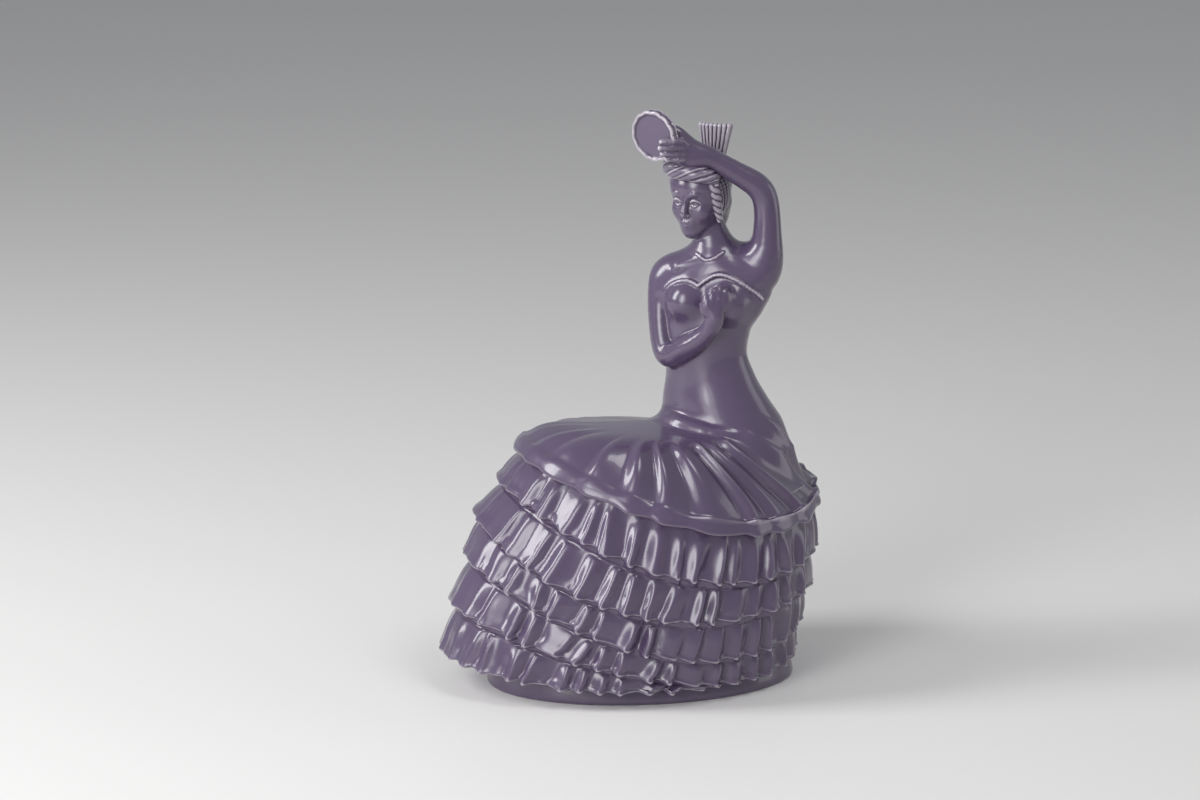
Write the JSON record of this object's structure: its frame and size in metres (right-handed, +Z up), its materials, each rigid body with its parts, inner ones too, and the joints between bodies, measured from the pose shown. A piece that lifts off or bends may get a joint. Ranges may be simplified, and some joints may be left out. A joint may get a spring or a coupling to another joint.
{
  "type": "figural lidded trinket box",
  "caption": "Glazed ceramic box shaped as a Spanish dancer: a flounced skirt is the jar, and the overskirt with the figure lifts off as its lid.",
  "frame": {"origin": "centre of the flat oval foot, on the surface the box stands on", "axes": "+Z up, the skirt's long axis along X with the train towards -X, the dancer's front towards -Y"},
  "size_m": [0.1526, 0.1102, 0.2265],
  "materials": {
    "lilac_glaze": "high gloss"
  },
  "bodies": {
    "box": {"box_foot": "lilac_glaze", "flounced_box": "lilac_glaze"},
    "lid": {"overskirt": "lilac_glaze", "torso": "lilac_glaze", "head": "lilac_glaze", "hair": "lilac_glaze", "hair_comb": "lilac_glaze", "raised_arm": "lilac_glaze", "folded_arm": "lilac_glaze", "tambourine": "lilac_glaze"}
  },
  "joints": [
    {"name": "lid_lift", "type": "slide", "parent": "box", "child": "lid", "axis": [0, 0, 1], "range_m": [0, 0.09]}
  ]
}
